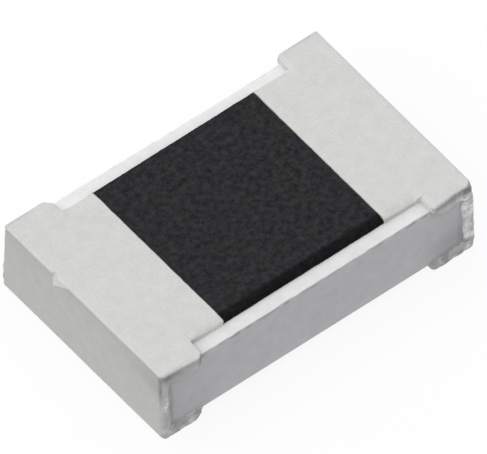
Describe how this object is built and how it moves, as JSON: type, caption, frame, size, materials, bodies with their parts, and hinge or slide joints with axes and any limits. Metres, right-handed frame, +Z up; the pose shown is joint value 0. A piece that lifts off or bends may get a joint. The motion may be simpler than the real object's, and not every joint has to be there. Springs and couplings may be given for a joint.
{
  "type": "chip resistor",
  "caption": "Flat surface-mount chip resistor: a ceramic slab with a black overcoat on top and plated ends that wrap round as solder faces.",
  "frame": {"origin": "on the plane of the solder faces, midway between the two ends and the two long sides", "axes": "+X along the length, +Y across the width, +Z up from the board"},
  "size_m": [0.002, 0.0012, 0.0005],
  "materials": {
    "ceramic": "fired alumina, matt, snapped long sides",
    "film": "fired resistive paste",
    "glass_coat": "fired glass",
    "black_resin": "matt black resin",
    "print": "fired silver paste",
    "edge_conductor": "thin conductor coat",
    "nickel": "plated, satin",
    "tin": "plated matt tin with fine grain"
  },
  "bodies": {
    "root": {"ceramic_substrate": "ceramic", "resistive_film": "film", "glass_undercoat": "glass_coat", "overcoat": "black_resin", "top_electrode_left": "print", "top_electrode_right": "print", "bottom_electrode_left": "print", "bottom_electrode_right": "print", "edge_electrode_left": "edge_conductor", "edge_electrode_right": "edge_conductor", "nickel_barrier_left": "nickel", "nickel_barrier_right": "nickel", "tin_plating_left": "tin", "tin_plating_right": "tin"}
  },
  "joints": []
}
